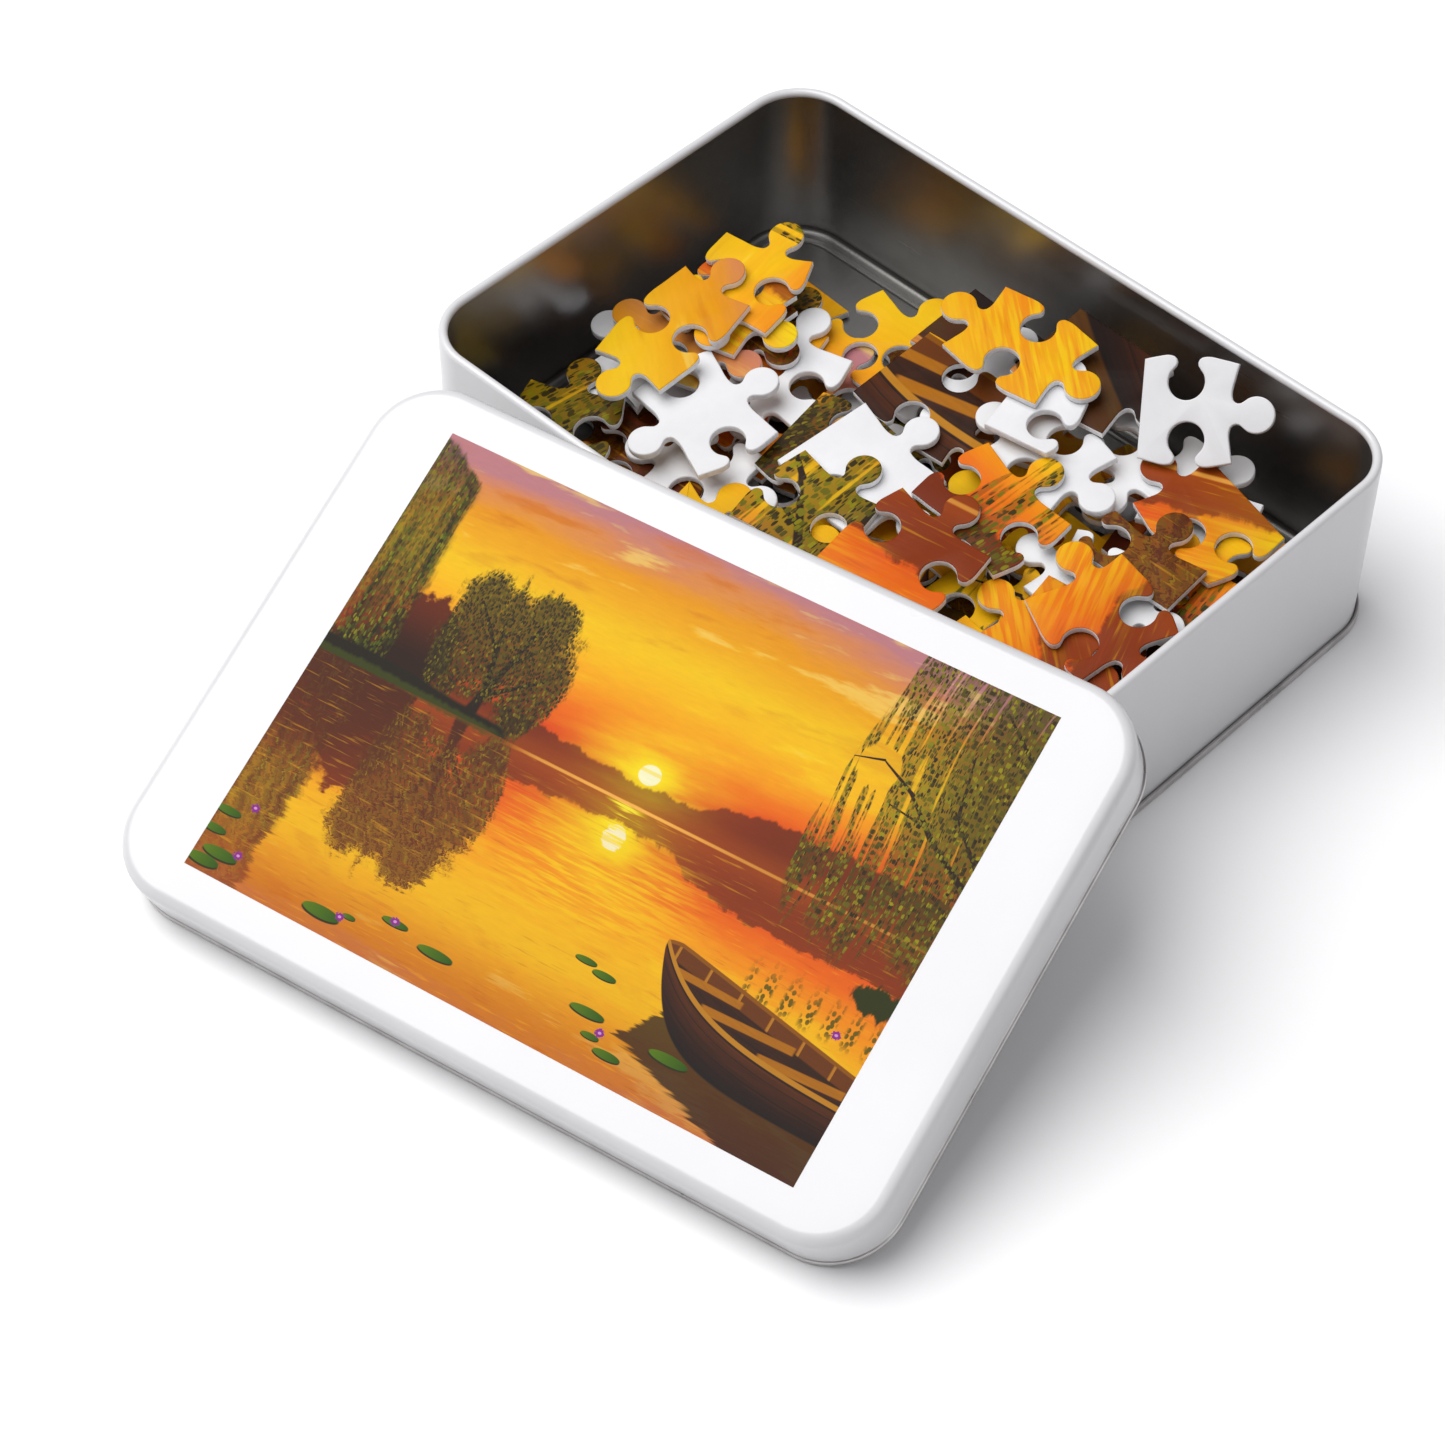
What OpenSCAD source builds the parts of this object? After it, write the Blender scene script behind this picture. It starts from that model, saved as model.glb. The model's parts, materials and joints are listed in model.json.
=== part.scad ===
// Tinplate presentation box with a loose heap of die-cut jigsaw pieces. The lid leans on the front rim.
// Millimetres, +Z up. The origin is the centre of the box's footprint, on the plane it stands on.

/* [Tin] */

// Outside length of the box wall
tin_l = 190; // [189:0.5:192]
// Outside width of the box wall
tin_w = 130.4; // [130:0.2:132]
// Height of the box over its curled rim
tin_h = 50.4; // [50:0.2:54]
// Outside corner radius of the wall
corner_r = 15.6; // [14:0.2:18]
// Thickness of the tinplate as modelled
sheet_t = 0.6; // [0.5:0.05:0.7]
// Radius of the inward rolled rim
curl_r = 1.15; // [0.9:0.05:1.3]
// Height of the top of the floor panel above the table
floor_z = 4; // [3:0.25:5]
// Height of the double seam around the base
seam_h = 2.6; // [2:0.1:3]
// How far the seam stands proud of the wall
seam_out = 1.1; // [0.8:0.1:1.4]

/* [Lid] */

// Outside length of the lid skirt
lid_l = 191.8; // [191.6:0.1:192.4]
// Outside width of the lid skirt
lid_w = 132.2; // [132:0.1:132.8]
// Depth of the lid from its top face to the lower edge of the hem
lid_h = 15.4; // [14:0.1:16]
// Radius of the soft edge around the top face
lid_edge_r = 3; // [2:0.25:4]
// Radius of the rolled hem
hem_r = 1.1; // [0.8:0.05:1.2]
// Length of the printed panel
print_l = 153.8; // [140:0.2:160]
// Width of the printed panel
print_w = 112; // [100:0.2:114]
// Lean of the lid from flat, in degrees
lid_lean = 22.7; // [22.65:0.05:22.9]
// Turn of the lid about the vertical, in degrees
lid_turn = 11.7; // [10:0.1:13]
// Centre of the lid's top face, left to right
lid_x = 31.9; // [30:0.1:34]
// Centre of the lid's top face, front to back
lid_y = -124.1; // [-124.4:0.1:-124]

/* [Jigsaw pieces] */

// Thickness of the board
board_t = 2; // [1.5:0.05:2]
// Radius of a knob's round head
knob_r = 4.3; // [4:0.05:4.4]
// Width of a knob's neck
neck_w = 4.8; // [4:0.1:5]
// Radius of the flare on each side of a neck
neck_r = 1.6; // [1.4:0.05:1.8]
// How far a cut edge dips beside a knob
edge_dip = 1.2; // [0.8:0.1:1.4]
// Step between two layers of the heap
layer_step = 2.35; // [2.25:0.01:2.4]
// Height of layer 0 of the sloping heap at the middle of the box
heap_z = 16; // [16:0.1:17]
// Rise of the heap towards the back, in millimetres per millimetre
heap_rise = 0.17; // [0.165:0.001:0.175]

/* [Hidden] */

$fn = 64;
lid_t = sheet_t;
inner_l = tin_l - 2 * sheet_t;
inner_w = tin_w - 2 * sheet_t;
heap_lean = atan(heap_rise);
lid_drop = (lid_w / 2 - 0.5) * sin(lid_lean) + (lid_h - hem_r) * cos(lid_lean) + hem_r;
lid_z = lid_drop + 0.05;
coat = [0.95, 0.95, 0.95];
steel = [0.42, 0.41, 0.4];
gold = [0.93, 0.7, 0.2];
orange = [0.85, 0.45, 0.12];
red = [0.8, 0.25, 0.08];
dusk = [0.15, 0.09, 0.06];
leaf = [0.5, 0.4, 0.1];
back = [0.9, 0.9, 0.89];

// One row per piece that shows: x, y, layer, turn, length, width,
// edges (north, east, south, west: 1 knob, -1 socket, 0 straight border), their offsets, colour.
PIECES = [
  [-64, 15, 5, 15, 24, 24.5, [1, -1, 1, -1], [2, 0, 0, 0], gold],
  [-66.5, -7.5, 6, 2, 21, 32.5, [1, -1, 1, -1], [-1, 0, 0, -1], gold],
  [-72.5, -39, 2, 27, 24, 24, [1, -1, -1, -1], [0, 0, 0, 0], leaf],
  [-66.5, -1.5, 3, 5, 24, 25, [-1, 1, -1, 1], [0, 0, 0, -3], orange],
  [-73, -12.5, 1, 0, 20, 22, [-1, 1, 1, 1], [0, 0, 0, 4], back],
  [-64.5, 9.5, 4, 2, 24, 23, [-1, 1, -1, -1], [0, 0, 0, 0], red],
  [-55, 12.5, 0, 0, 22, 22, [1, -1, 1, -1], [-1.5, 0, 0, 0], orange],
  [-61.5, 9.5, 2, 5, 20, 22, [-1, 1, -1, 1], [0, 1, 0, 0], dusk],
  [-42, 7, 1, 6, 21, 24, [1, -1, 1, -1], [-5, 0, 0, 0], back],
  [-45.5, -18, 4, -15, 31, 22, [1, -1, 1, -1], [0, 0, 1, 0], back],
  [-38, -27, 1, 10, 24, 22, [-1, 1, -1, 1], [0, 0, 0, 0], back],
  [-55.5, -32.5, 0, 3, 24, 22, [1, 1, -1, -1], [0, 0, 0, 0], dusk],
  [-27.5, -44, 2, -8, 22, 22, [1, -1, -1, 1], [0, -1, 0, 0], orange],
  [-18.5, -5, 2, 4, 22, 26, [-1, 1, -1, 0], [0, 0, 0, 0], leaf],
  [-6, -6, 3, -10, 31, 26, [1, 1, -1, 0], [0, 0, 0, 0], back],
  [-7, -24, 4, -2, 25, 25, [1, -1, 1, -1], [2, 0, 0, 0], leaf],
  [21, -21.5, 5, -4, 29, 28, [1, -1, 1, -1], [0, -2, 0, 3], red],
  [26, 3, 4, -11, 31, 22.5, [1, -1, 1, -1], [0, 0, 0, 0], leaf],
  [24.5, 23.5, 3, -5, 25, 22.5, [-1, 1, -1, 1], [0, 0, 0, 0], back],
  [17, 28.5, 5, 8, 17, 18, [1, -1, 0, 0], [0, 2, 0, 0], back],
  [2, 39.5, 6, 0, 29, 22.5, [-1, 1, -1, 1], [0, 0, 0, 0], gold],
  [-34.5, 31.5, -1, -8, 24.5, 22, [1, -1, -1, -1], [2, 0, 0, 0], gold],
  [-8.5, 22.5, 2, -5, 31, 25, [-1, 1, -1, 0], [0, 4, 0, 0], dusk],
  [17.5, 47.5, 4, -2, 29.5, 24.5, [0, 1, -1, 0], [0, 0, 0, 0], dusk],
  [41.5, 41.5, 1, 0, 26, 20, [-1, 1, 1, -1], [0, 0, 0, 0], back],
  [59, 38.5, 0, 4, 22, 20, [1, -1, 1, -1], [0, 0, 0, 0], back],
  [64.5, 34.5, 2, -14, 29, 21.5, [0, -1, -1, 1], [0, 0, 0, 0], orange],
  [61, 15, 3, 0, 27, 14, [1, 0, 0, -1], [0, 0, 0, 0], leaf],
  [65.5, -4, 4, -20, 26, 25, [-1, 1, -1, 1], [3, 0, -4, 3], red],
  [58.5, -14, 3, -5, 24, 24, [-1, 1, 1, 1], [0, 0, 0, 0], red],
  [36, -11, 1, -8, 18, 24, [-1, 0, -1, 0], [0, 0, 0, 0], gold],
  [78, 25.5, 1, -6, 20, 20, [-1, 0, 1, 1], [0, 0, 0, 0], orange],
  [-5.5, 34.5, 1, 0, 22, 20, [1, 1, 1, -1], [0, 0, 0, 0], back],
  [-14, 44.5, 0, -4, 26, 22, [0, 1, 1, 0], [0, 0, 0, 0], dusk],
  [57.5, 5, 2, 3, 28, 20, [-1, 1, -1, 1], [-7, 0, 0, 0], back],
  [51, -28.5, 2, 5, 22, 20, [1, -1, 1, -1], [0, 0, 0, 0], gold],
  [3, -15, -1, 12, 22, 22, [-1, 1, -1, 1], [0, 0, 0, 0], gold],
  [-2, -40.5, 3, -10, 22, 20, [1, 1, -1, 0], [0, 0, 0, 0], orange],
  [13.5, -3.5, 0, 6, 22, 20, [1, -1, 1, 0], [0, 0, 0, 0], gold],
  [-37, -5, -1, -10, 22, 20, [-1, 1, -1, 1], [0, 0, 0, 0], red],
  [-34.5, 13.5, -2, 15, 20, 20, [1, -1, 1, -1], [0, 0, 0, 0], orange],
];

// The piece that leans up on two others by the back wall: length, width, edges, offsets.
LEANER = [22, 23, [-1, 1, -1, 0], [-1, 0, 0, 0]];
// Its place, and its turns about Z, then X, then in its own plane
leaner_at = [44.8, 49.6, 38.7];
leaner_turn = [20.6, 41.6, 13.2];

// Flat layers under the slope, which fill the box below the pieces that show: height, columns, rows.
LAYERS = [
  [4.2, [-70, -35, 0, 35, 70], [-33, 1, 35]],
  [6.6, [-54, -19, 16, 51], [-15, 20]],
  [9, [-68, -33, 2, 37, 72], [16]],
  [11.4, [-15, 20, 55], [34]],
  [13.8, [4, 39, 73], [40]],
];

// ---- Outlines ----

function arc(cx, cy, r, a0, a1, n) =
  [for (i = [0:n]) let (a = a0 + (a1 - a0) * i / n) [cx + r * cos(a), cy + r * sin(a)]];

flare_x = neck_w / 2 + neck_r;
flare_y = neck_r - edge_dip;
knob_y = flare_y + sqrt(pow(knob_r + neck_r, 2) - flare_x * flare_x);
meet = atan2(knob_y - flare_y, flare_x);

// Half a knob from the straight cut to the crown, on the -x side of its centre line.
function half_knob() = concat(
  arc(-flare_x, flare_y, neck_r, -90, meet, 5),
  arc(0, knob_y, knob_r, 180 + meet, 90, 6)
);

// A cut edge along x, of length len: it dips, runs round the knob and dips again.
// Point 6 of each half repeats point 5, where the flare meets the head, and is left out.
function knob_edge(len, off) = let (
  left = half_knob(),
  n = len(left) - 1,
  run = [-len / 2, off - flare_x, off + flare_x, len / 2]
) concat(
  [[run[0], 0], [run[0] * 0.55 + run[1] * 0.45, -edge_dip * 0.6]],
  [for (i = [0:n]) if (i != 6) [left[i][0] + off, left[i][1]]],
  [for (i = [n - 1:-1:0]) if (i != 6) [off - left[i][0], left[i][1]]],
  [[run[3] * 0.55 + run[2] * 0.45, -edge_dip * 0.6]]
);

function edge(len, kind, off) =
  kind == 0 ? [[-len / 2, 0]] : [for (p = knob_edge(len, off)) [p[0], p[1] * kind]];

// The four edges in turn: north, east, south, west.
function outline(l, w, k, o) = concat(
  [for (p = edge(l, k[0], o[0])) [p[0], p[1] + w / 2]],
  [for (p = edge(w, k[1], o[1])) [p[1] + l / 2, -p[0]]],
  [for (p = edge(l, k[2], o[2])) [-p[0], -p[1] - w / 2]],
  [for (p = edge(w, k[3], o[3])) [-p[1] - l / 2, p[0]]]
);

module rounded(l, w, r) {
  square([l - 2 * r, w], center = true);
  square([l, w - 2 * r], center = true);
  for (sx = [-1, 1], sy = [-1, 1]) {
    translate([sx * (l / 2 - r), sy * (w / 2 - r)]) circle(r);
  }
}

// Carries a profile round a rounded rectangle: profile x is the distance out from the wall's outside.
module sweep(l, w, r) {
  for (q = [0:3]) {
    sx = (q == 0 || q == 3) ? 1 : -1;
    sy = q < 2 ? 1 : -1;
    translate([sx * (l / 2 - r), sy * (w / 2 - r), 0])
      rotate([0, 0, q * 90])
        rotate_extrude(angle = 90) translate([r, 0]) children();
  }
  for (s = [0, 180]) {
    rotate([0, 0, s]) translate([l / 2, w / 2 - r, 0])
      rotate([90, 0, 0]) linear_extrude(w - 2 * r) children();
    rotate([0, 0, s + 90]) translate([w / 2, l / 2 - r, 0])
      rotate([90, 0, 0]) linear_extrude(l - 2 * r) children();
  }
}

// ---- Tin ----

module tin_wall() color(coat) {
  sweep(tin_l, tin_w, corner_r) {
    translate([-sheet_t, 0.6]) square([sheet_t, tin_h - curl_r - 0.6]);
  }
  sweep(tin_l, tin_w, corner_r) {
    difference() {
      translate([-curl_r, tin_h - curl_r]) circle(curl_r);
      translate([-sheet_t, tin_h - 2 * curl_r - 0.1]) square([sheet_t + 0.1, curl_r + 0.1]);
    }
  }
}

module tin_base() color(steel) {
  base_r = corner_r - sheet_t - 0.1;
  translate([0, 0, floor_z - sheet_t])
    linear_extrude(sheet_t) rounded(inner_l - 0.2, inner_w - 0.2, base_r);
  translate([0, 0, 0.4])
    linear_extrude(floor_z - sheet_t - 0.4)
      difference() {
        rounded(inner_l - 0.2, inner_w - 0.2, base_r);
        rounded(inner_l - 0.2 - 2 * sheet_t, inner_w - 0.2 - 2 * sheet_t, base_r - sheet_t);
      }
}

module base_seam() color(steel)
  sweep(tin_l, tin_w, corner_r) {
    translate([0.02, 0]) square([seam_out, seam_h - seam_out / 2]);
    translate([0.02 + seam_out / 2, seam_h - seam_out / 2]) circle(seam_out / 2);
  }

// ---- Lid ----

module lid_place()
  translate([lid_x, lid_y, lid_z]) rotate([lid_lean, 0, lid_turn]) children();

module lid_shell() color(coat) lid_place() {
  translate([0, 0, -lid_t])
    linear_extrude(lid_t)
      rounded(lid_l - 2 * lid_edge_r, lid_w - 2 * lid_edge_r, corner_r + 1 - lid_edge_r);
  sweep(lid_l, lid_w, corner_r + 1) {
    intersection() {
      difference() {
        translate([-lid_edge_r, -lid_edge_r]) circle(lid_edge_r);
        translate([-lid_edge_r, -lid_edge_r]) circle(lid_edge_r - lid_t);
      }
      translate([-lid_edge_r, -lid_edge_r]) square(lid_edge_r + 1);
    }
    translate([-lid_t, 2 * hem_r - lid_h]) square([lid_t, lid_h - 2 * hem_r - lid_edge_r]);
  }
}

module lid_hem() color(steel) lid_place()
  sweep(lid_l, lid_w, corner_r + 1)
    translate([0.5 - hem_r, hem_r - lid_h]) circle(hem_r);

module lid_print() color(orange) lid_place()
  linear_extrude(0.1) square([print_l, print_w], center = true);

// ---- Jigsaw pieces ----

module board(l, w, k, o) linear_extrude(board_t) polygon(outline(l, w, k, o));

module piece(n) {
  p = PIECES[n - 1];
  color(p[8])
    translate([p[0], p[1], heap_z + heap_rise * p[1] + layer_step * p[2]])
      rotate([heap_lean, 0, 0]) rotate([0, 0, p[3]])
        board(p[4], p[5], p[6], p[7]);
}

module piece_upright() color(back)
  translate(leaner_at)
    rotate([0, 0, leaner_turn[0]]) rotate([leaner_turn[1], 0, 0]) rotate([0, 0, leaner_turn[2]])
      board(LEANER[0], LEANER[1], LEANER[2], LEANER[3]);

module layer(n) {
  lay = LAYERS[n - 1];
  xs = lay[1];
  ys = lay[2];
  color(n % 2 == 0 ? back : gold)
    for (i = [0:len(xs) - 1], j = [0:len(ys) - 1])
      translate([xs[i], ys[j], lay[0]])
        rotate([0, 0, 4 * ((2 * i + j + n) % 3 - 1)])
          board(23 - (i + j) % 2, 22 + (i + n) % 2,
                [j < len(ys) - 1 ? 1 : 0, i < len(xs) - 1 ? 1 : 0, -1, -1],
                [1 - (i + j) % 3, (i + n) % 3 - 1, -2, 2]);
}

// ---- Assembly ----

tin_wall();
tin_base();
base_seam();
lid_shell();
lid_hem();
lid_print();
layer(1);  // layer_1
layer(2);  // layer_2
layer(3);  // layer_3
layer(4);  // layer_4
layer(5);  // layer_5
piece(1);  // piece_01
piece(2);  // piece_02
piece(3);  // piece_03
piece(4);  // piece_04
piece(5);  // piece_05
piece(6);  // piece_06
piece(7);  // piece_07
piece(8);  // piece_08
piece(9);  // piece_09
piece(10);  // piece_10
piece(11);  // piece_11
piece(12);  // piece_12
piece(13);  // piece_13
piece(14);  // piece_14
piece(15);  // piece_15
piece(16);  // piece_16
piece(17);  // piece_17
piece(18);  // piece_18
piece(19);  // piece_19
piece(20);  // piece_20
piece(21);  // piece_21
piece(22);  // piece_22
piece(23);  // piece_23
piece(24);  // piece_24
piece(25);  // piece_25
piece(26);  // piece_26
piece(27);  // piece_27
piece(28);  // piece_28
piece(29);  // piece_29
piece(30);  // piece_30
piece(31);  // piece_31
piece(32);  // piece_32
piece(33);  // piece_33
piece(34);  // piece_34
piece(35);  // piece_35
piece(36);  // piece_36
piece(37);  // piece_37
piece(38);  // piece_38
piece(39);  // piece_39
piece(40);  // piece_40
piece(41);  // piece_41
piece_upright();
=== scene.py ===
import json
import math

import bmesh
import bpy
from mathutils import Matrix, Vector


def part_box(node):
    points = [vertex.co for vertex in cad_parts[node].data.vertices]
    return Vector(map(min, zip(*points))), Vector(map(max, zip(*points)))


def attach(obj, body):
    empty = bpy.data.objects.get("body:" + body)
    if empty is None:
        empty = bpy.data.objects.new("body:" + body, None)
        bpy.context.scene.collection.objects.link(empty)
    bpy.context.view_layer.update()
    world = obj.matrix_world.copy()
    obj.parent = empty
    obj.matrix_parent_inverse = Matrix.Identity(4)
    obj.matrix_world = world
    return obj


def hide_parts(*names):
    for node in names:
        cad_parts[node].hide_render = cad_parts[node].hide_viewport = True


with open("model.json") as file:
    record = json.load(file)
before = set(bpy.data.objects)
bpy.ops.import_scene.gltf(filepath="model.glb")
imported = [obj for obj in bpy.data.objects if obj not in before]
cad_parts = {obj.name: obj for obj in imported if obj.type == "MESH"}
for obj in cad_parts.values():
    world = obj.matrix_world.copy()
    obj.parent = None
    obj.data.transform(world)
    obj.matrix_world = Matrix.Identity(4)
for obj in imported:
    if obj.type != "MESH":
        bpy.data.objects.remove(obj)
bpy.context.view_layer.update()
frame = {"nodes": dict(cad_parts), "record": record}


# ---- Where it stands ----
# A plain white table top that runs on as a seamless backdrop, a large soft light high on
# the left, a weaker one on the right, and a bright even room.

camera_data = bpy.data.cameras.new("studio_camera")
camera_data.sensor_width = 36
camera_data.lens = 92.43
camera = bpy.data.objects.new("studio_camera", camera_data)
bpy.context.scene.collection.objects.link(camera)
looking = Vector((-0.4554, 0.4696, -0.7564))
camera.matrix_world = (
    Matrix.Translation((0.3960, -0.4670, 0.6398))
    @ looking.to_track_quat("-Z", "Y").to_matrix().to_4x4()
    @ Matrix.Rotation(math.radians(0.25), 4, "Z")
)
bpy.context.scene.camera = camera
bpy.context.scene.view_settings.view_transform = "Standard"


def soft_light(name, place, size, power):
    lamp = bpy.data.lights.new(name, "AREA")
    lamp.shape = "DISK"
    lamp.size = size
    lamp.energy = power
    lamp_object = bpy.data.objects.new(name, lamp)
    lamp_object.location = place
    towards = Vector((0, -0.03, 0)) - Vector(place)
    lamp_object.rotation_euler = towards.to_track_quat("-Z", "Y").to_euler()
    bpy.context.scene.collection.objects.link(lamp_object)


soft_light("key_light", (-0.6, -0.42, 1.4), 1.8, 37)
soft_light("fill_light", (0.9, -0.2, 0.95), 1.2, 3.5)

room = bpy.data.worlds.new("bright_room")
room.use_nodes = True
room.node_tree.nodes["Background"].inputs["Color"].default_value = (0.96, 0.93, 1, 1)
room.node_tree.nodes["Background"].inputs["Strength"].default_value = 0.26
bpy.context.scene.world = room


class Tone:
    """A number, vector or colour in a material's nodes, which takes Python's arithmetic."""

    def __init__(self, tree, socket=None):
        self.tree = tree
        self.socket = socket

    def node(self, kind, settings=None, links=None, out=0):
        """Adds a node: its settings first, then values or links by socket name or number."""
        made = self.tree.nodes.new(kind)
        for name, value in (settings or {}).items():
            if name == "stops":
                ramp = made.color_ramp.elements
                while len(ramp) < len(value):
                    ramp.new(1)
                for stop, (place, colour) in zip(ramp, value):
                    stop.position = place
                    stop.color = colour
            else:
                setattr(made, name, value)
        for key, value in (links or {}).items():
            if isinstance(value, Tone):
                self.tree.links.new(value.socket, made.inputs[key])
            else:
                made.inputs[key].default_value = value
        return Tone(self.tree, made.outputs[out])

    def math(self, operation, *others):
        values = dict(enumerate((self, *others)))
        return self.node("ShaderNodeMath", {"operation": operation}, values)

    def __add__(self, other):
        return self.math("ADD", other)

    def __radd__(self, other):
        return self.math("ADD", other)

    def __sub__(self, other):
        return self.math("SUBTRACT", other)

    def __rsub__(self, other):
        return self.node("ShaderNodeMath", {"operation": "SUBTRACT"}, {0: other, 1: self})

    def __mul__(self, other):
        return self.math("MULTIPLY", other)

    def __rmul__(self, other):
        return self.math("MULTIPLY", other)

    def __abs__(self):
        return self.math("ABSOLUTE")

    def rise(self, low, high):
        """0 below low, 1 above high, smooth between; it falls where low is the greater."""
        start, end = (low, high) if low < high else (high, low)
        ends = (0, 1) if low < high else (1, 0)
        return self.node(
            "ShaderNodeMapRange",
            {"interpolation_type": "SMOOTHSTEP"},
            {0: self, 1: start, 2: end, 3: ends[0], 4: ends[1]},
        )

    def above(self, other, soft):
        """1 where this is greater than other, over a soft edge."""
        return (self - other).rise(-soft, soft)

    def blend(self, factor, over):
        """This colour with another laid over it by factor."""
        settings = {"data_type": "RGBA", "clamp_factor": True}
        return self.node("ShaderNodeMix", settings, {0: factor, 6: self, 7: over}, 2)

    def ramp(self, *stops):
        """A colour ramp over this number; each stop is a place and six hex digits or a colour."""
        colours = [(place, ink(c) if isinstance(c, str) else (*c, 1)) for place, c in stops]
        return self.node("ShaderNodeValToRGB", {"stops": colours}, {0: self})

    def between(self, first, second):
        """The first colour where this is 0, the second where it is 1."""
        return self.node("ShaderNodeMix", {"data_type": "RGBA"}, {0: self, 6: ink(first), 7: ink(second)}, 2)

    def at(self, x, y, z=0.0):
        return self.node("ShaderNodeCombineXYZ", {}, {0: x, 1: y, 2: z})

    def cloud(self, place, scale, detail=3.0, rough=0.5):
        links = {"Vector": place, "Scale": scale, "Detail": detail, "Roughness": rough}
        return self.node("ShaderNodeTexNoise", {"noise_dimensions": "2D"}, links)


def ink(code):
    """A colour written as six hex digits, in linear light."""
    parts = [int(code[i : i + 2], 16) / 255 for i in (0, 2, 4)]
    return (*(p / 12.92 if p <= 0.04045 else ((p + 0.055) / 1.055) ** 2.4 for p in parts), 1)


def finish(name, build, **fixed):
    """A material: fixed are constant sockets of its shader, build gives the ones that vary."""
    made = bpy.data.materials.new(name)
    made.use_nodes = True
    shader = made.node_tree.nodes["Principled BSDF"]
    for key, value in fixed.items():
        shader.inputs[key.replace("_", " ")].default_value = value
    for key, tone in build(Tone(made.node_tree)).items():
        made.node_tree.links.new(tone.socket, shader.inputs[key])
    return made


def table_tones(start):
    place = start.node("ShaderNodeTexCoord", out=3)
    speck = start.cloud(place, 6.0)
    return {"Roughness": 0.75 + 0.1 * speck}


table_mesh = bpy.data.meshes.new("table_top")
table_mesh.from_pydata([(-4, -4, 0), (4, -4, 0), (4, 4, 0), (-4, 4, 0)], [], [(0, 1, 2, 3)])
table_top = bpy.data.objects.new("table_top", table_mesh)
bpy.context.scene.collection.objects.link(table_top)
table_mesh.materials.append(finish("white_paper_sweep", table_tones, Base_Color=(0.86, 0.86, 0.86, 1)))


# ---- Tin ----
# A drawn tinplate box, lacquered white outside and over its inward curled rim, and bare
# and dull inside. The base panel is pressed in and held by a double seam of bare metal; its
# metal is painted darker than the walls' as shade at the bottom of the box.


def white_tones(start):
    place = start.node("ShaderNodeTexCoord", out=3)
    peel = start.cloud(place, 900.0, 2.0)
    wear = start.cloud(place, 24.0, 4.0)
    bump = start.node("ShaderNodeBump", {}, {"Strength": 0.03, "Distance": 0.0004, "Height": peel})
    tint = wear.ramp((0.3, "C3C3C4"), (0.7, "C7C7C8"))
    return {"Base Color": tint, "Roughness": 0.26 + 0.08 * wear, "Normal": bump}


def tinplate_tones(start):
    place = start.node("ShaderNodeTexCoord", out=3)
    grain_place = start.node("ShaderNodeMapping", {}, {"Vector": place, "Scale": (40, 40, 1600)})
    grain = start.node("ShaderNodeTexNoise", {}, {"Vector": grain_place, "Scale": 1.0, "Detail": 3.0})
    patch = start.node("ShaderNodeTexNoise", {}, {"Vector": place, "Scale": 28.0, "Detail": 4.0})
    tint = patch.ramp((0.25, (0.27, 0.265, 0.26)), (0.8, (0.44, 0.435, 0.43)))
    bump = start.node("ShaderNodeBump", {}, {"Strength": 0.12, "Distance": 0.0002, "Height": grain})
    return {"Base Color": tint, "Roughness": 0.2 + 0.12 * grain + 0.1 * patch, "Normal": bump}


def shaded_base_tones(start):
    place = start.node("ShaderNodeTexCoord", out=3)
    rolled = start.node("ShaderNodeMapping", {}, {"Vector": place, "Scale": (1200, 30, 30)})
    grain = start.node("ShaderNodeTexNoise", {}, {"Vector": rolled, "Scale": 1.0, "Detail": 3.0})
    patch = start.node("ShaderNodeTexNoise", {}, {"Vector": place, "Scale": 22.0, "Detail": 4.0})
    # Painted shade: the base panel's metal is set darker than the walls' tinplate, standing in for the shade
    # at the bottom of the tin.
    tint = patch.ramp((0.25, (0.13, 0.128, 0.12)), (0.8, (0.2, 0.197, 0.19)))
    bump = start.node("ShaderNodeBump", {}, {"Strength": 0.1, "Distance": 0.0002, "Height": grain})
    return {"Base Color": tint, "Roughness": 0.34 + 0.12 * grain + 0.06 * patch, "Normal": bump}


def seam_tones(start):
    place = start.node("ShaderNodeTexCoord", out=3)
    patch = start.node("ShaderNodeTexNoise", {}, {"Vector": place, "Scale": 120.0, "Detail": 4.0})
    tint = patch.ramp((0.3, (0.36, 0.35, 0.34)), (0.75, (0.58, 0.57, 0.56)))
    return {"Base Color": tint, "Roughness": 0.22 + 0.16 * patch}


white_lacquer = finish("white_lacquer", white_tones, Coat_Weight=0.25, Coat_Roughness=0.15)
bare_tinplate = finish("bare_tinplate", tinplate_tones, Metallic=1.0)
dull_shaded_tinplate = finish("dull_shaded_tinplate", shaded_base_tones, Metallic=1.0)
rolled_steel = finish("rolled_steel", seam_tones, Metallic=1.0)

MM = 0.001
wall_low, wall_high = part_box("tin_wall")
wall_length = wall_high[0] - wall_low[0]
wall_width = wall_high[1] - wall_low[1]
wall_corner = 15.6 * MM
rim_top = wall_high[2]
sheet = 0.6 * MM
curl = 1.15 * MM
floor_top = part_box("tin_base")[1][2]


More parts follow.
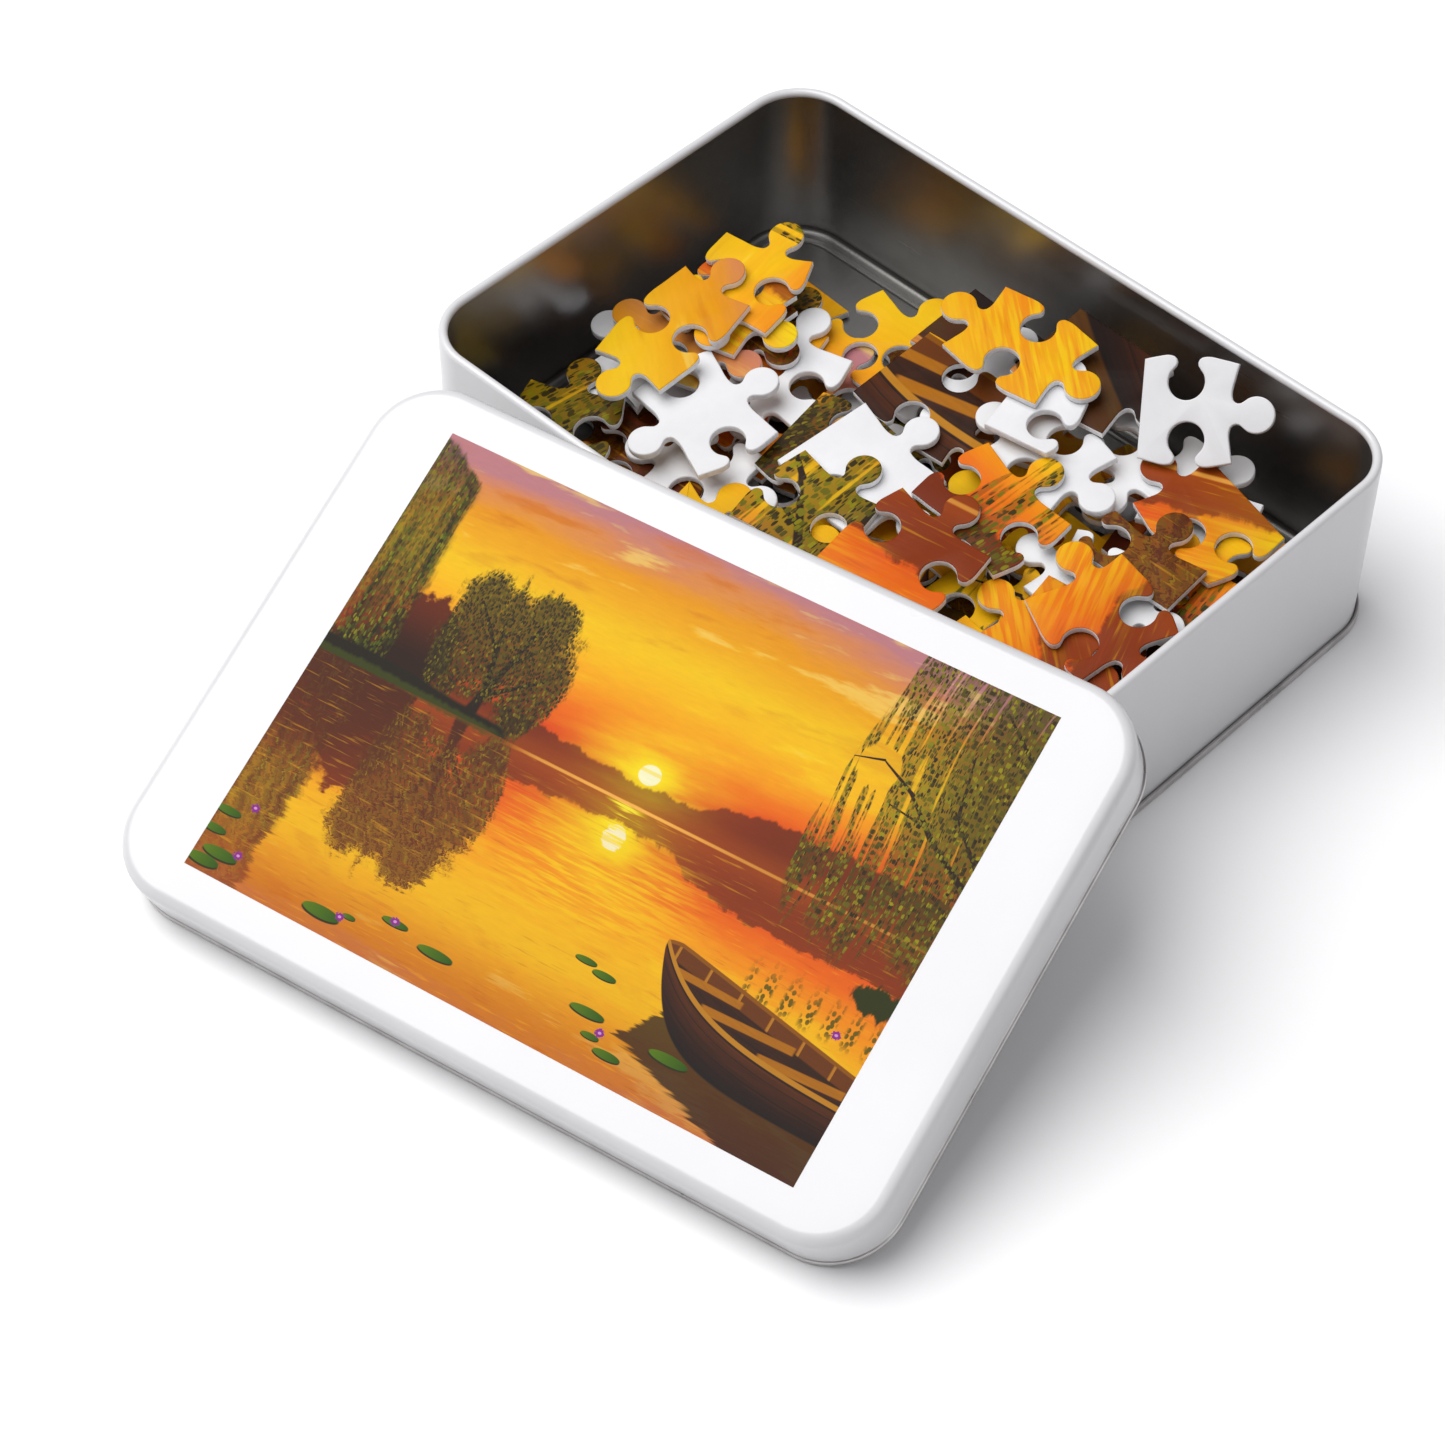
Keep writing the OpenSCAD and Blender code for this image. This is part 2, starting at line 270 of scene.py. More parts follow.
def swept(profile, length, width, corner, finishes, cap=None, steps=18):
    """Carries a profile of (outward, height) round a rounded rectangle, with a slot for each step.

    cap closes the ring at the profile's "start" or "end".
    """
    path = []
    for quarter in range(4):
        side_x = 1 if quarter in (0, 3) else -1
        side_y = 1 if quarter < 2 else -1
        for i in range(steps + 1):
            turn = math.radians(90 * quarter + 90 * i / steps)
            centre = (side_x * (length / 2 - corner), side_y * (width / 2 - corner))
            path.append((*centre, math.cos(turn), math.sin(turn)))
    points = []
    for cx, cy, dx, dy in path:
        for out, height in profile:
            reach = max(corner + out, 0.00002)
            points.append((cx + dx * reach, cy + dy * reach, height))
    n = len(profile)
    faces = []
    slots = []
    for a in range(len(path)):
        b = (a + 1) % len(path)
        for k, slot in enumerate(finishes):
            after = (k + 1) % n
            faces.append((a * n + k, b * n + k, b * n + after, a * n + after))
            slots.append(slot)
    if cap:
        ring = [a * n for a in reversed(range(len(path)))]
        if cap == "end":
            ring = [a * n + n - 1 for a in range(len(path))]
        faces.append(ring)
        slots.append(finishes[-1])
    mesh = bpy.data.meshes.new("swept")
    mesh.from_pydata(points, [], faces)
    mesh.polygons.foreach_set("material_index", slots)
    return mesh


def arc(cx, cy, radius, start, end, count):
    """Points on an arc, angles in degrees."""
    turns = [math.radians(start + (end - start) * i / count) for i in range(count + 1)]
    return [(cx + radius * math.cos(t), cy + radius * math.sin(t)) for t in turns]


def placed(name, mesh, materials, body, nodes=(), sharp=35):
    """Makes a mesh a finished piece: shading, materials, body, slot and the nodes it stands for."""
    for material in materials:
        mesh.materials.append(material)
    mesh.shade_smooth()
    mesh.set_sharp_from_angle(angle=math.radians(sharp))
    piece = bpy.data.objects.new(name, mesh)
    bpy.context.scene.collection.objects.link(piece)
    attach(piece, body)
    if nodes:
        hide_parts(*nodes)
    return piece


curl_height = rim_top - curl
wall_foot = wall_low[2]
wall_profile = [(0, wall_foot), (0, curl_height)]
wall_profile += arc(-curl, curl_height, curl, 12, 270, 20)
wall_profile += [(-sheet, curl_height - curl * 0.95), (-sheet, wall_foot)]
white_steps = len(wall_profile) - 3
wall_slots = [0] * white_steps + [1] * 3
wall_slots[-1] = 0
placed(
    "tin_wall_drawn",
    swept(wall_profile, wall_length, wall_width, wall_corner, wall_slots),
    [white_lacquer, bare_tinplate],
    "tin",
    ["tin_wall"],
)

groove = 3.4 * MM
floor_profile = [(-0.7 * MM, 0.4 * MM), (-0.7 * MM, floor_top + 1.4 * MM)]
floor_profile += arc(-2.2 * MM, floor_top + 1.5 * MM, 1.5 * MM, 0, -90, 6)
floor_profile += [(-groove, floor_top), (-groove - 0.5 * MM, floor_top - 0.55 * MM)]
floor_profile += [(-groove - 1.1 * MM, floor_top - 0.6 * MM), (-groove - 1.8 * MM, floor_top - 0.05 * MM)]
floor_profile += [(-groove - 2.4 * MM, floor_top)]
placed(
    "tin_base_pressed",
    swept(floor_profile, wall_length, wall_width, wall_corner, [0] * (len(floor_profile) - 1), "end"),
    [dull_shaded_tinplate],
    "tin",
    ["tin_base"],
)


def bead_tree():
    """A rolled bead round a rounded rectangle, lying in the XY plane."""
    tree = bpy.data.node_groups.new("rolled_bead", "GeometryNodeTree")
    for name in ("Length", "Width", "Corner", "Bead Width", "Bead Height"):
        tree.interface.new_socket(name, in_out="INPUT", socket_type="NodeSocketFloat")
    tree.interface.new_socket("Material", in_out="INPUT", socket_type="NodeSocketMaterial")
    tree.interface.new_socket("Geometry", in_out="OUTPUT", socket_type="NodeSocketGeometry")

    def add(kind, settings, links):
        made = tree.nodes.new(kind)
        for key, value in settings.items():
            setattr(made, key, value)
        for key, value in links.items():
            if isinstance(value, bpy.types.NodeSocket):
                tree.links.new(value, made.inputs[key])
            else:
                made.inputs[key].default_value = value
        return made.outputs

    given = tree.nodes.new("NodeGroupInput").outputs
    ring_sizes = {"Width": given["Length"], "Height": given["Width"]}
    ring = add("GeometryNodeCurvePrimitiveQuadrilateral", {}, ring_sizes)[0]
    ring = add(
        "GeometryNodeFilletCurve",
        {"mode": "POLY"},
        {"Curve": ring, "Count": 20, "Radius": given["Corner"], "Limit Radius": True},
    )[0]
    round_section = add("GeometryNodeCurvePrimitiveCircle", {}, {"Resolution": 20, "Radius": 0.5})[0]
    bead_sizes = {0: given["Bead Width"], 1: given["Bead Height"], 2: 1.0}
    sizes = add("ShaderNodeCombineXYZ", {}, bead_sizes)[0]
    section = add("GeometryNodeTransform", {}, {"Geometry": round_section, "Scale": sizes})[0]
    skin = add("GeometryNodeCurveToMesh", {}, {"Curve": ring, "Profile Curve": section})[0]
    real = add("GeometryNodeRealizeInstances", {}, {"Geometry": skin})[0]
    done = add("GeometryNodeSetMaterial", {}, {"Geometry": real, "Material": given["Material"]})[0]
    tree.links.new(done, tree.nodes.new("NodeGroupOutput").inputs["Geometry"])
    return tree


rolled_bead = bead_tree()


def bead(length, width, corner, across, tall, material):
    """The mesh of one rolled bead, centred on its own section."""
    holder = bpy.data.objects.new("bead_maker", bpy.data.meshes.new("bead_maker"))
    bpy.context.scene.collection.objects.link(holder)
    maker = holder.modifiers.new("bead", "NODES")
    maker.node_group = rolled_bead
    sizes = {"Length": length, "Width": width, "Corner": corner, "Bead Width": across, "Bead Height": tall}
    for item in rolled_bead.interface.items_tree:
        if item.name in sizes:
            maker[item.identifier] = float(sizes[item.name])
        elif item.name == "Material":
            maker[item.identifier] = material
    graph = bpy.context.evaluated_depsgraph_get()
    mesh = bpy.data.meshes.new_from_object(holder.evaluated_get(graph))
    holder.modifiers.remove(maker)
    bpy.data.objects.remove(holder)
    skin = bmesh.new()
    skin.from_mesh(mesh)
    bmesh.ops.recalc_face_normals(skin, faces=skin.faces)
    skin.to_mesh(mesh)
    skin.free()
    return mesh


seam_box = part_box("base_seam")
seam_out = seam_box[1][0] - wall_high[0]
seam_tall = seam_box[1][2]
seam_mesh = bead(
    wall_length + seam_out,
    wall_width + seam_out,
    wall_corner + seam_out / 2,
    seam_out * 0.98,
    seam_tall,
    rolled_steel,
)
seam_mesh.transform(Matrix.Translation((0, 0, seam_tall / 2)))
placed("base_seam_rolled", seam_mesh, [], "tin", ["base_seam"])


# ---- Lid ----
# A shallow slip lid drawn from the same white-lacquered sheet, with a soft edge round its
# flat top and a bare rolled hem. It leans on the tin's front rim with its near edge down.

lid_length = 191.8 * MM
lid_width = 132.2 * MM
lid_depth = 15.4 * MM
lid_corner = 16.6 * MM
lid_edge = 3.0 * MM
hem = 2.2 * MM


def lid_frame():
    """The lid's place and turn, read from the top face of its printed panel."""
    mesh = frame["nodes"]["lid_print"].data
    face = max(mesh.polygons, key=lambda p: (round(p.area, 6), p.normal.z))
    up = face.normal.normalized()
    top = [mesh.vertices[i].co for p in mesh.polygons if p.normal.dot(up) > 0.99 for i in p.vertices]
    right = max(top, key=lambda p: p.x)
    near = min(top, key=lambda p: p.y)
    along = (right - near).normalized()
    corners = {(round(p.x, 5), round(p.y, 5), round(p.z, 5)): p for p in top}
    centre = sum(corners.values(), Vector()) / len(corners)
    turned = Matrix((along, up.cross(along), up)).transposed().to_4x4()
    size = ((right - near).length, 2 * min((p - centre).length for p in corners.values()))
    return Matrix.Translation(centre) @ turned, size


lid_place, (panel_length, panel_diagonal) = lid_frame()
panel_width = math.sqrt(panel_diagonal**2 - panel_length**2)

side = [(0, -lid_depth + hem)]
side += arc(-lid_edge, -lid_edge, lid_edge, 0, 90, 10)
inside = arc(-lid_edge, -lid_edge, lid_edge - sheet, 90, 0, 10) + [(-sheet, -lid_depth + hem)]
lid_flat = -lid_edge - 4 * MM
lid_profile = [(lid_flat, 0)] + side[::-1]
lid_slots = [0] * (len(lid_profile) - 1)
shell_mesh = swept(lid_profile[::-1], lid_length, lid_width, lid_corner, lid_slots, "end")
shell_mesh.transform(lid_place)
placed("lid_top_drawn", shell_mesh, [white_lacquer], "lid", ["lid_shell"])

under_profile = [(lid_flat, -sheet)] + inside
under_slots = [0] * (len(under_profile) - 1)
under_mesh = swept(under_profile, lid_length, lid_width, lid_corner, under_slots, "start")
under_mesh.transform(lid_place)
placed("lid_underside", under_mesh, [bare_tinplate], "lid")

hem_in = 0.5 * MM
hem_mesh = bead(
    lid_length - 2 * hem_in, lid_width - 2 * hem_in, lid_corner - hem_in, hem, hem, rolled_steel
)
hem_mesh.transform(lid_place @ Matrix.Translation((0, 0, -lid_depth + hem / 2)))
placed("lid_hem_rolled", hem_mesh, [], "lid", ["lid_hem"])


# ---- Picture ----
# The one picture that is on the lid and on the pieces: a low sun over a lake, willows on
# both banks and a rowing boat. It is printed, then varnished. Its own place runs from 0 to
# 1.373 across and from 0 to 1 upwards.

SHORE = 0.495


def oval(x, y, cx, cy, rx, ry):
    """How far a point is from an oval's centre, 1 on its line."""
    a = (x - cx) * (1 / rx)
    b = (y - cy) * (1 / ry)
    return (a * a + b * b).math("SQRT")


def stroke(x, y, start, end, width):
    """1 along a straight stroke that thins towards its end."""
    dx, dy = end[0] - start[0], end[1] - start[1]
    long = dx * dx + dy * dy
    along = (x - start[0]) * (dx / long) + (y - start[1]) * (dy / long)
    along = along.math("MINIMUM", 1.0).math("MAXIMUM", 0.0)
    off_x = x - start[0] - along * dx
    off_y = y - start[1] - along * dy
    gap = (off_x * off_x + off_y * off_y).math("SQRT")
    return (gap + along * (width * 0.6)).rise(width * 1.2, width * 0.8)


def leaves(x, y, wide, tall, size):
    """Hanging leaves: where one is, and a number that is its own."""
    links = {"Vector": x.at(x * wide, y * tall), "Scale": 1.0, "Randomness": 0.9}
    near = x.node("ShaderNodeTexVoronoi", {"voronoi_dimensions": "2D"}, links)
    own = Tone(x.tree, near.socket.node.outputs["Color"])
    number = own.node("ShaderNodeSeparateColor", {}, {0: own})
    return near.rise(size, size * 0.7), number


def sunset(start, x, y):
    """The picture's colour at a place in it."""
    here = start.at(x, y)
    under = (SHORE - y).rise(-0.001, 0.001)
    depth = (SHORE - y).math("MAXIMUM", 0.0)
    ripple = start.cloud(start.at(x * 5.0, y * 75.0), 1.0, 3.0, 0.6) - 0.5
    wave = start.cloud(start.at(x * 14.0, y * 190.0), 1.0, 2.0, 0.5) - 0.5
    shake = ripple * 0.03 + wave * 0.014
    mx = x + under * shake * (depth * 2.6 + 0.25)
    my = abs(y - SHORE) * (1 - under * 0.14) + SHORE + under * ripple * (depth * 0.12 + 0.006)
    high = (my - SHORE) * (1 / 0.505)

    # sky
    tilt = start.at(mx * 1.7 + my * 2.6, my * 8.5 - mx * 1.0)
    drift = start.cloud(tilt, 1.0, 5.0, 0.55) - 0.5
    fine = start.cloud(start.at(mx * 4.2 + my * 5.0, my * 26.0 - mx * 2.4), 1.0, 4.0, 0.6) - 0.5
    side = abs(mx - 0.73)
    level = high + drift * 0.24 * (high + 0.25) + fine * 0.07
    level = level - side * (1 - high) * 0.12 + side * high * 0.12
    sky = level.ramp(
        (0.0, "C83D1A"),
        (0.1, "E24C18"),
        (0.2, "F2701A"),
        (0.3, "FA9A18"),
        (0.43, "FCBC1E"),
        (0.55, "FACB40"),
        (0.68, "F4B54C"),
        (0.8, "EDA85A"),
        (0.92, "DA9570"),
        (1.0, "C0888C"),
    )
    sky = sky.blend((drift + fine * 0.8).rise(0.08, 0.24) * high.rise(0.2, 0.5) * 0.55, ink("FFE48A"))
    sky = sky.blend((drift * -1 - fine * 0.6).rise(0.05, 0.22) * high.rise(0.3, 0.75) * 0.5, ink("CE7448"))
    low_band = start.cloud(start.at(mx * 2.2, my * 34.0), 1.0, 4.0, 0.6)
    sky = sky.blend(low_band.rise(0.52, 0.66) * high.rise(0.34, 0.1) * 0.5, ink("D8521C"))
    sun_x, sun_y = 0.732, 0.558
    glow = oval(mx, my, sun_x, sun_y, 0.30, 0.2).rise(1.0, 0.0)
    sky = sky.blend(glow * glow * (0.75 + fine * 1.6), ink("FFDB2E"))
    core = oval(mx, my, sun_x, sun_y, 0.08, 0.055).rise(1.0, 0.2)
    sky = sky.blend(core * 0.9, ink("FFE95A"))
    disc = oval(mx, my, sun_x, sun_y, 0.024, 0.021).rise(1.05, 0.9)
    band = abs(my - sun_y - 0.006).rise(0.002, 0.005) * 0.6 + 0.4
    sky = sky.blend(disc * band, ink("FFFBD0"))

    # far bank
    ragged = start.cloud(start.at(mx * 16.0, 0.0), 1.0, 5.0, 0.65)
    bank_top = 0.018 + ragged * 0.045 + mx.rise(0.78, 1.02) * 0.05 + mx.rise(0.66, 0.5) * 0.016
    far = (bank_top - (my - SHORE)).rise(-0.003, 0.004)
    mist = (my - SHORE).rise(0.05, 0.0)
    bank_tint = sky.blend(1.0, ink("6E2E17")).blend(mist * 0.55, ink("A35B3C"))
    picture = sky.blend(far * (0.93 - glow * 0.25), bank_tint)

    # left bank, bush and willows
    mound = (0.02 + mx.rise(0.44, 0.1) * 0.02 + ragged * 0.008 - (my - SHORE)) * mx.rise(0.45, 0.41)
    bush = (1 - oval(mx, my, 0.175, 0.575, 0.085, 0.125)) + (start.cloud(here, 26.0, 4.0) - 0.5) * 0.7
    bush_tint = my.rise(0.55, 0.7).between("2A1408", "6A2A13")
    picture = picture.blend(bush.rise(0.0, 0.12), bush_tint)
    crown = 1 - oval(mx, my, 0.345, 0.665, 0.15, 0.135)
    for cx, cy, rx, ry in ((0.26, 0.72, 0.065, 0.085), (0.39, 0.745, 0.075, 0.06), (0.235, 0.64, 0.045, 0.14),
                           (0.455, 0.62, 0.05, 0.11), (0.27, 0.6, 0.06, 0.1), (0.43, 0.57, 0.06, 0.09)):
        crown = crown.math("MAXIMUM", 1 - oval(mx, my, cx, cy, rx, ry))
    column = start.cloud(start.at(mx * 46.0, my * 3.0), 1.0, 3.0, 0.6) - 0.5
    clump = start.cloud(start.at(mx, my), 17.0, 4.0, 0.6) - 0.5
    crown = crown + column * 0.55 + clump * 0.5
    leaf, number = leaves(mx + clump * 0.02, my, 230.0, 120.0, 0.56)
    light_leaf = number.ramp((0.0, "241A08"), (0.5, "42380D"), (0.85, "5E5214"), (1.0, "84741E"))
    trunk = stroke(mx, my, (0.343, 0.49), (0.352, 0.57), 0.017)
    for a, b, w in (((0.352, 0.55), (0.315, 0.70), 0.008), ((0.352, 0.56), (0.385, 0.72), 0.008),
                    ((0.36, 0.56), (0.45, 0.63), 0.006), ((0.33, 0.64), (0.25, 0.72), 0.005),
                    ((0.37, 0.63), (0.42, 0.70), 0.004), ((0.343, 0.47), (0.343, 0.52), 0.022)):
        trunk = trunk.math("MAXIMUM", stroke(mx, my, a, b, w))
    picture = picture.blend(crown.rise(0.05, 0.42) * 0.86, ink("33270B"))
    picture = picture.blend(trunk, ink("20120A"))
    picture = picture.blend(leaf * crown.rise(0.0, 0.25), light_leaf)

    edge = 0.135 + (start.cloud(start.at(0.0, my * 9.0), 1.0, 3.0) - 0.5) * 0.06 + column * 0.03
    fall = (edge - mx + my.rise(0.9, 1.0) * -0.09) * 14 * my.rise(0.997, 0.97)
    fall = fall + column * 0.3 * my.rise(0.6, 0.45)
    near_leaf, near_number = leaves(mx, my + column * 0.02, 200.0, 84.0, 0.55)
    near_tint = near_number.ramp((0.0, "1E1A08"), (0.4, "3F420F"), (0.75, "5F6A1A"), (1.0, "8E8B28"))
    hang = fall.rise(0.0, 0.35) * (my + column * 0.06).rise(0.44, 0.5).math("MAXIMUM", under)
    picture = picture.blend(hang * (0.8 + column * 0.9), ink("241F0A"))
    picture = picture.blend(near_leaf * hang * (0.7 + column * 1.2), near_tint)
    ground = mound.rise(0.0, 0.01) * (1 - under)
    picture = picture.blend(ground, ink("1B1508"))
    tuft = start.cloud(start.at(x * 60.0, y * 18.0), 1.0, 3.0)
    fringe = abs(y - 0.488 - mx.rise(0.44, 0.1) * 0.008 - tuft * 0.012).rise(0.013, 0.004)
    fringe = fringe * x.rise(0.46, 0.38)
    picture = picture.blend(fringe * 0.85, ink("3C4212"))

    # water
    dark_side = (0.31 - x - (y - 0.3) * 0.2 + ripple * 0.25).rise(-0.02, 0.2)
    dark_side = dark_side * y.rise(0.24, 0.36) * under
    picture = picture.blend(dark_side * 0.9, ink("23110A"))
    picture = picture.blend(under * (0.08 + depth * 0.3), ink("DC642A"))
    picture = picture.blend(under * y.rise(0.16, 0.0) * 0.5, ink("B0684F"))
    glitter = (ripple * 1.4 + wave * 1.2).rise(-0.1, 0.25)
    path = abs(x - sun_x + ripple * 0.05).rise(0.05, 0.012) * y.rise(0.37, 0.43) * y.rise(0.5, 0.485)
    wide_path = abs(x - sun_x).rise(0.3, 0.02) * y.rise(0.16, 0.32) * y.rise(0.47, 0.36)
    picture = picture.blend(path * glitter, ink("FFEE6E"))
    picture = picture.blend(wide_path * glitter * under * 0.7, ink("FFD640"))
    picture = picture.blend((wave * 2 + ripple).rise(0.25, 0.6) * under * 0.28, ink("FFC05A"))
    picture = picture.blend((wave * -2 - ripple).rise(0.3, 0.7) * under * 0.3, ink("A8441A"))
    shore_line = abs(y - SHORE + 0.004).rise(0.0045, 0.0015) * x.rise(0.42, 0.52)
    picture = picture.blend(shore_line * (0.5 + abs(x - sun_x).rise(0.3, 0.0) * 0.5), ink("FFC27A"))

    # water plants
    reed_column = (x * 22.0 + 0.3).math("PINGPONG", 0.5).rise(0.14, 0.34)
    reed_leaf = leaves(x, y, 105.0, 78.0, 0.5)[0]
    reeds = x.rise(1.09, 1.11) * reed_column * y.rise(0.25, 0.28) * (y + column * 0.06).rise(0.36, 0.3)
    picture = picture.blend(reed_leaf * reeds, ink("6B5A14"))
    tuft_right = 1 - oval(x, y, 1.345, 0.365, 0.07, 0.035) + (tuft - 0.5) * 1.1
    picture = picture.blend(tuft_right.rise(0.1, 0.3), ink("2D3208"))

    # boat, lit along its gunwales
    bow_x = 0.932
    run = (x - bow_x).math("MAXIMUM", 0.0)
    down = 1 - y
    far_line = 0.7 + (run - 0.028).math("MAXIMUM", 0.0) * 0.182 + (run * -70.0).math("EXPONENT") * 0.006
    near_line = 0.842 - (run * (-1 / 0.12)).math("EXPONENT") * 0.137
    keel_line = 0.917 - (run * (-1 / 0.075)).math("EXPONENT") * 0.2
    aboard = x.rise(bow_x - 0.002, bow_x + 0.002)
    shadow_line = 0.905 + run * 0.36 + ripple * 0.05
    shadow_side = (x - 0.985 + (down - 0.84) * 0.8 + ripple * 0.06).rise(-0.005, 0.005)
    shadow = down.above(keel_line - 0.01, 0.003) * (shadow_line - down).rise(-0.004, 0.006)
    low_shadow = x.above(1.0 + ripple * 0.06, 0.01) * down.rise(0.86, 0.9)
    low_shadow = low_shadow * (down - shadow_line).rise(0.06, 0.0)
    picture = picture.blend(shadow * shadow_side.math("MAXIMUM", low_shadow) * 0.9, ink("200D08"))
    hull = (down - near_line) * (1 / 0.08)
    plank = (hull * 3.2).math("FRACT")
    wood = start.cloud(start.at(x * 8.0, (down - near_line) * 160.0), 1.0, 4.0, 0.6)
    hull_tint = (hull + (wood - 0.5) * 0.5).ramp(
        (0.0, "5E3115"), (0.3, "47230F"), (0.7, "2A130A"), (1.0, "160A06")
    )
    hull_tint = hull_tint.blend(plank.rise(0.86, 0.97) * 0.7, ink("1C0C06"))
    outside = aboard * down.above(near_line, 0.002) * (keel_line - down).rise(-0.003, 0.002)
    picture = picture.blend(outside, hull_tint)
    well = aboard * down.above(far_line, 0.002) * (near_line - down).rise(-0.002, 0.002)
    far_side = (down - far_line).rise(0.034, 0.03)
    ribs = (x * 13.5).math("FRACT").rise(0.9, 0.95)
    well_tint = wood.between("170B06", "442310").blend(far_side, ink("6B3A1A"))
    well_tint = well_tint.blend(far_side * ribs, ink("B9824A"))
    picture = picture.blend(well, well_tint)
    for x0, x1, y0, slope, thick in ((0.972, 1.12, 0.748, 0.03, 0.0085), (1.05, 1.25, 0.789, -0.03, 0.0095),
                                     (1.19, 1.373, 0.823, -0.05, 0.010)):
        seat = x.rise(x0 - 0.004, x0 + 0.006) * x.rise(x1 + 0.002, x1 - 0.004)
        gap = down - y0 - (x - x0) * slope
        front = (gap - thick * 1.4).rise(0.002, -0.002) * gap.rise(-0.004, 0.0)
        face = abs(gap).rise(thick, thick * 0.7) * (0.75 + wood * 0.4)
        picture = picture.blend(seat * well * front, ink("3B1D0E"))
        picture = picture.blend(seat * well * face, ink("B47638"))
    near_rail = abs(down - near_line).rise(0.0062, 0.0042) * aboard
    far_rail = abs(down - far_line).rise(0.0045, 0.003) * aboard
    picture = picture.blend(far_rail, ink("8E5A2C")).blend(near_rail, ink("C08A4C"))
    picture = picture.blend(abs(down - near_line - 0.007).rise(0.003, 0.001) * aboard, ink("2A140A"))

    # lily pads and their flowers
    pads = ((0.812, 0.808, 0.024, 0.006), (0.858, 0.819, 0.026, 0.007), (0.865, 0.893, 0.038, 0.009),
            (0.893, 0.93, 0.02, 0.006), (0.94, 0.948, 0.03, 0.008), (1.048, 0.902, 0.042, 0.010),
            (0.545, 0.93, 0.04, 0.009), (0.443, 0.913, 0.03, 0.007), (0.3, 0.96, 0.043, 0.012),
            (0.355, 0.944, 0.015, 0.005), (0.022, 0.87, 0.03, 0.008), (0.015, 0.912, 0.028, 0.008),
            (0.055, 0.952, 0.04, 0.011), (0.03, 0.976, 0.036, 0.011))
    for cx, cy, rx, ry in pads:
        distance = oval(x, down, cx, cy, rx, ry)
        beneath = oval(x, down, cx, cy + ry * 0.35, rx, ry).rise(1.06, 0.94)
        picture = picture.blend(beneath, ink("2A2A0C"))
        pad_tint = ((x - cx) * (0.5 / rx) + 0.5).between("5C7A22", "2F5416")
        picture = picture.blend(distance.rise(1.04, 0.94), pad_tint)
    flowers = ((0.441, 0.911), (0.338, 0.952), (0.907, 0.917), (0.068, 0.843), (0.09, 0.94), (1.302, 0.72))
    for cx, cy in flowers:
        petals = oval(x, down, cx, cy, 0.0105, 0.009) + (start.cloud(here, 260.0, 1.0) - 0.5) * 1.2
        picture = picture.blend(petals.rise(1.0, 0.8), ink("8C3F8E"))
        picture = picture.blend(oval(x, down, cx, cy, 0.004, 0.003).rise(1.0, 0.8), ink("D9A0D0"))

    # right willow, over everything
    reach_low = start.cloud(start.at(x * 11.0, 0.0), 1.0, 3.0, 0.6)
    bottom = 0.4 + (reach_low - 0.5) * 0.16 + x.rise(1.1, 1.03) * 0.19
    top = 1.02 - x.rise(1.075, 1.04) * 0.3 - x.rise(1.095, 1.07) * 0.16
    reach = (y - bottom) * 12
    curtain = reach.rise(0.0, 0.8) * (top - y).rise(-0.01, 0.02)
    curtain = curtain * (x + (reach_low - 0.5) * 0.03).rise(1.03, 1.05)
    gap_sky = 1 - oval(x, y, 1.115, 0.765, 0.055, 0.05)
    strands = start.cloud(start.at(x * 70.0 + (y * 9.0).math("SINE") * 0.9, y * 3.4), 1.0, 2.0, 0.6)
    thick_side = x.rise(1.12, 1.34) * y.rise(0.35, 0.75)
    cover = (strands + thick_side * 0.2 - gap_sky.rise(0.0, 0.4) * 0.3).rise(0.42, 0.52) * curtain
    front_leaf, front_number = leaves(x + (strands - 0.5) * 0.03, y, 190.0, 84.0, 0.5)
    front_tint = front_number.ramp((0.0, "2A1F09"), (0.4, "4A410F"), (0.75, "6E6818"), (1.0, "9C922C"))
    picture = picture.blend(cover * 0.5 + thick_side * curtain * 0.4, ink("4E4210"))
    limbs = None
    for a, b, w in (((1.39, 0.615), (1.26, 0.69), 0.0085), ((1.27, 0.685), (1.19, 0.75), 0.006),
                    ((1.2, 0.745), (1.12, 0.782), 0.004), ((1.385, 0.66), (1.29, 0.75), 0.005),
                    ((1.38, 0.89), (1.29, 0.96), 0.005), ((1.3, 0.74), (1.27, 0.86), 0.004),
                    ((1.25, 0.7), (1.17, 0.71), 0.003), ((1.12, 0.782), (1.06, 0.765), 0.0025)):
        limb = stroke(x + (reach_low - 0.5) * 0.01, y, a, b, w)
        limbs = limb if limbs is None else limbs.math("MAXIMUM", limb)
    picture = picture.blend(limbs * curtain.rise(0.0, 0.2), ink("2A180A"))
    picture = picture.blend(front_leaf * cover, front_tint)
    return picture


def print_tones(start):
    place = start.node("ShaderNodeUVMap", {"uv_map": "picture"})
    parts = start.node("ShaderNodeSeparateXYZ", {}, {0: place})
    across = parts
    upward = Tone(start.tree, parts.socket.node.outputs[1])
    picture = sunset(start, across, upward)
    canvas = start.cloud(place, 420.0, 2.0)
    brush = start.cloud(start.at(across * 30.0, upward * 160.0), 1.0, 3.0)
    relief = {"Strength": 0.06, "Distance": 0.0002, "Height": canvas + brush * 0.6}
    bump = start.node("ShaderNodeBump", {}, relief)
    inks = {"Saturation": 1.14, "Value": 0.62 + brush * 0.08, "Color": picture}
    grade = start.node("ShaderNodeHueSaturation", {}, inks)
    return {"Base Color": grade, "Roughness": 0.5 + 0.1 * canvas, "Normal": bump}


printed = finish("printed_and_varnished", print_tones, Specular_IOR_Level=0.15)

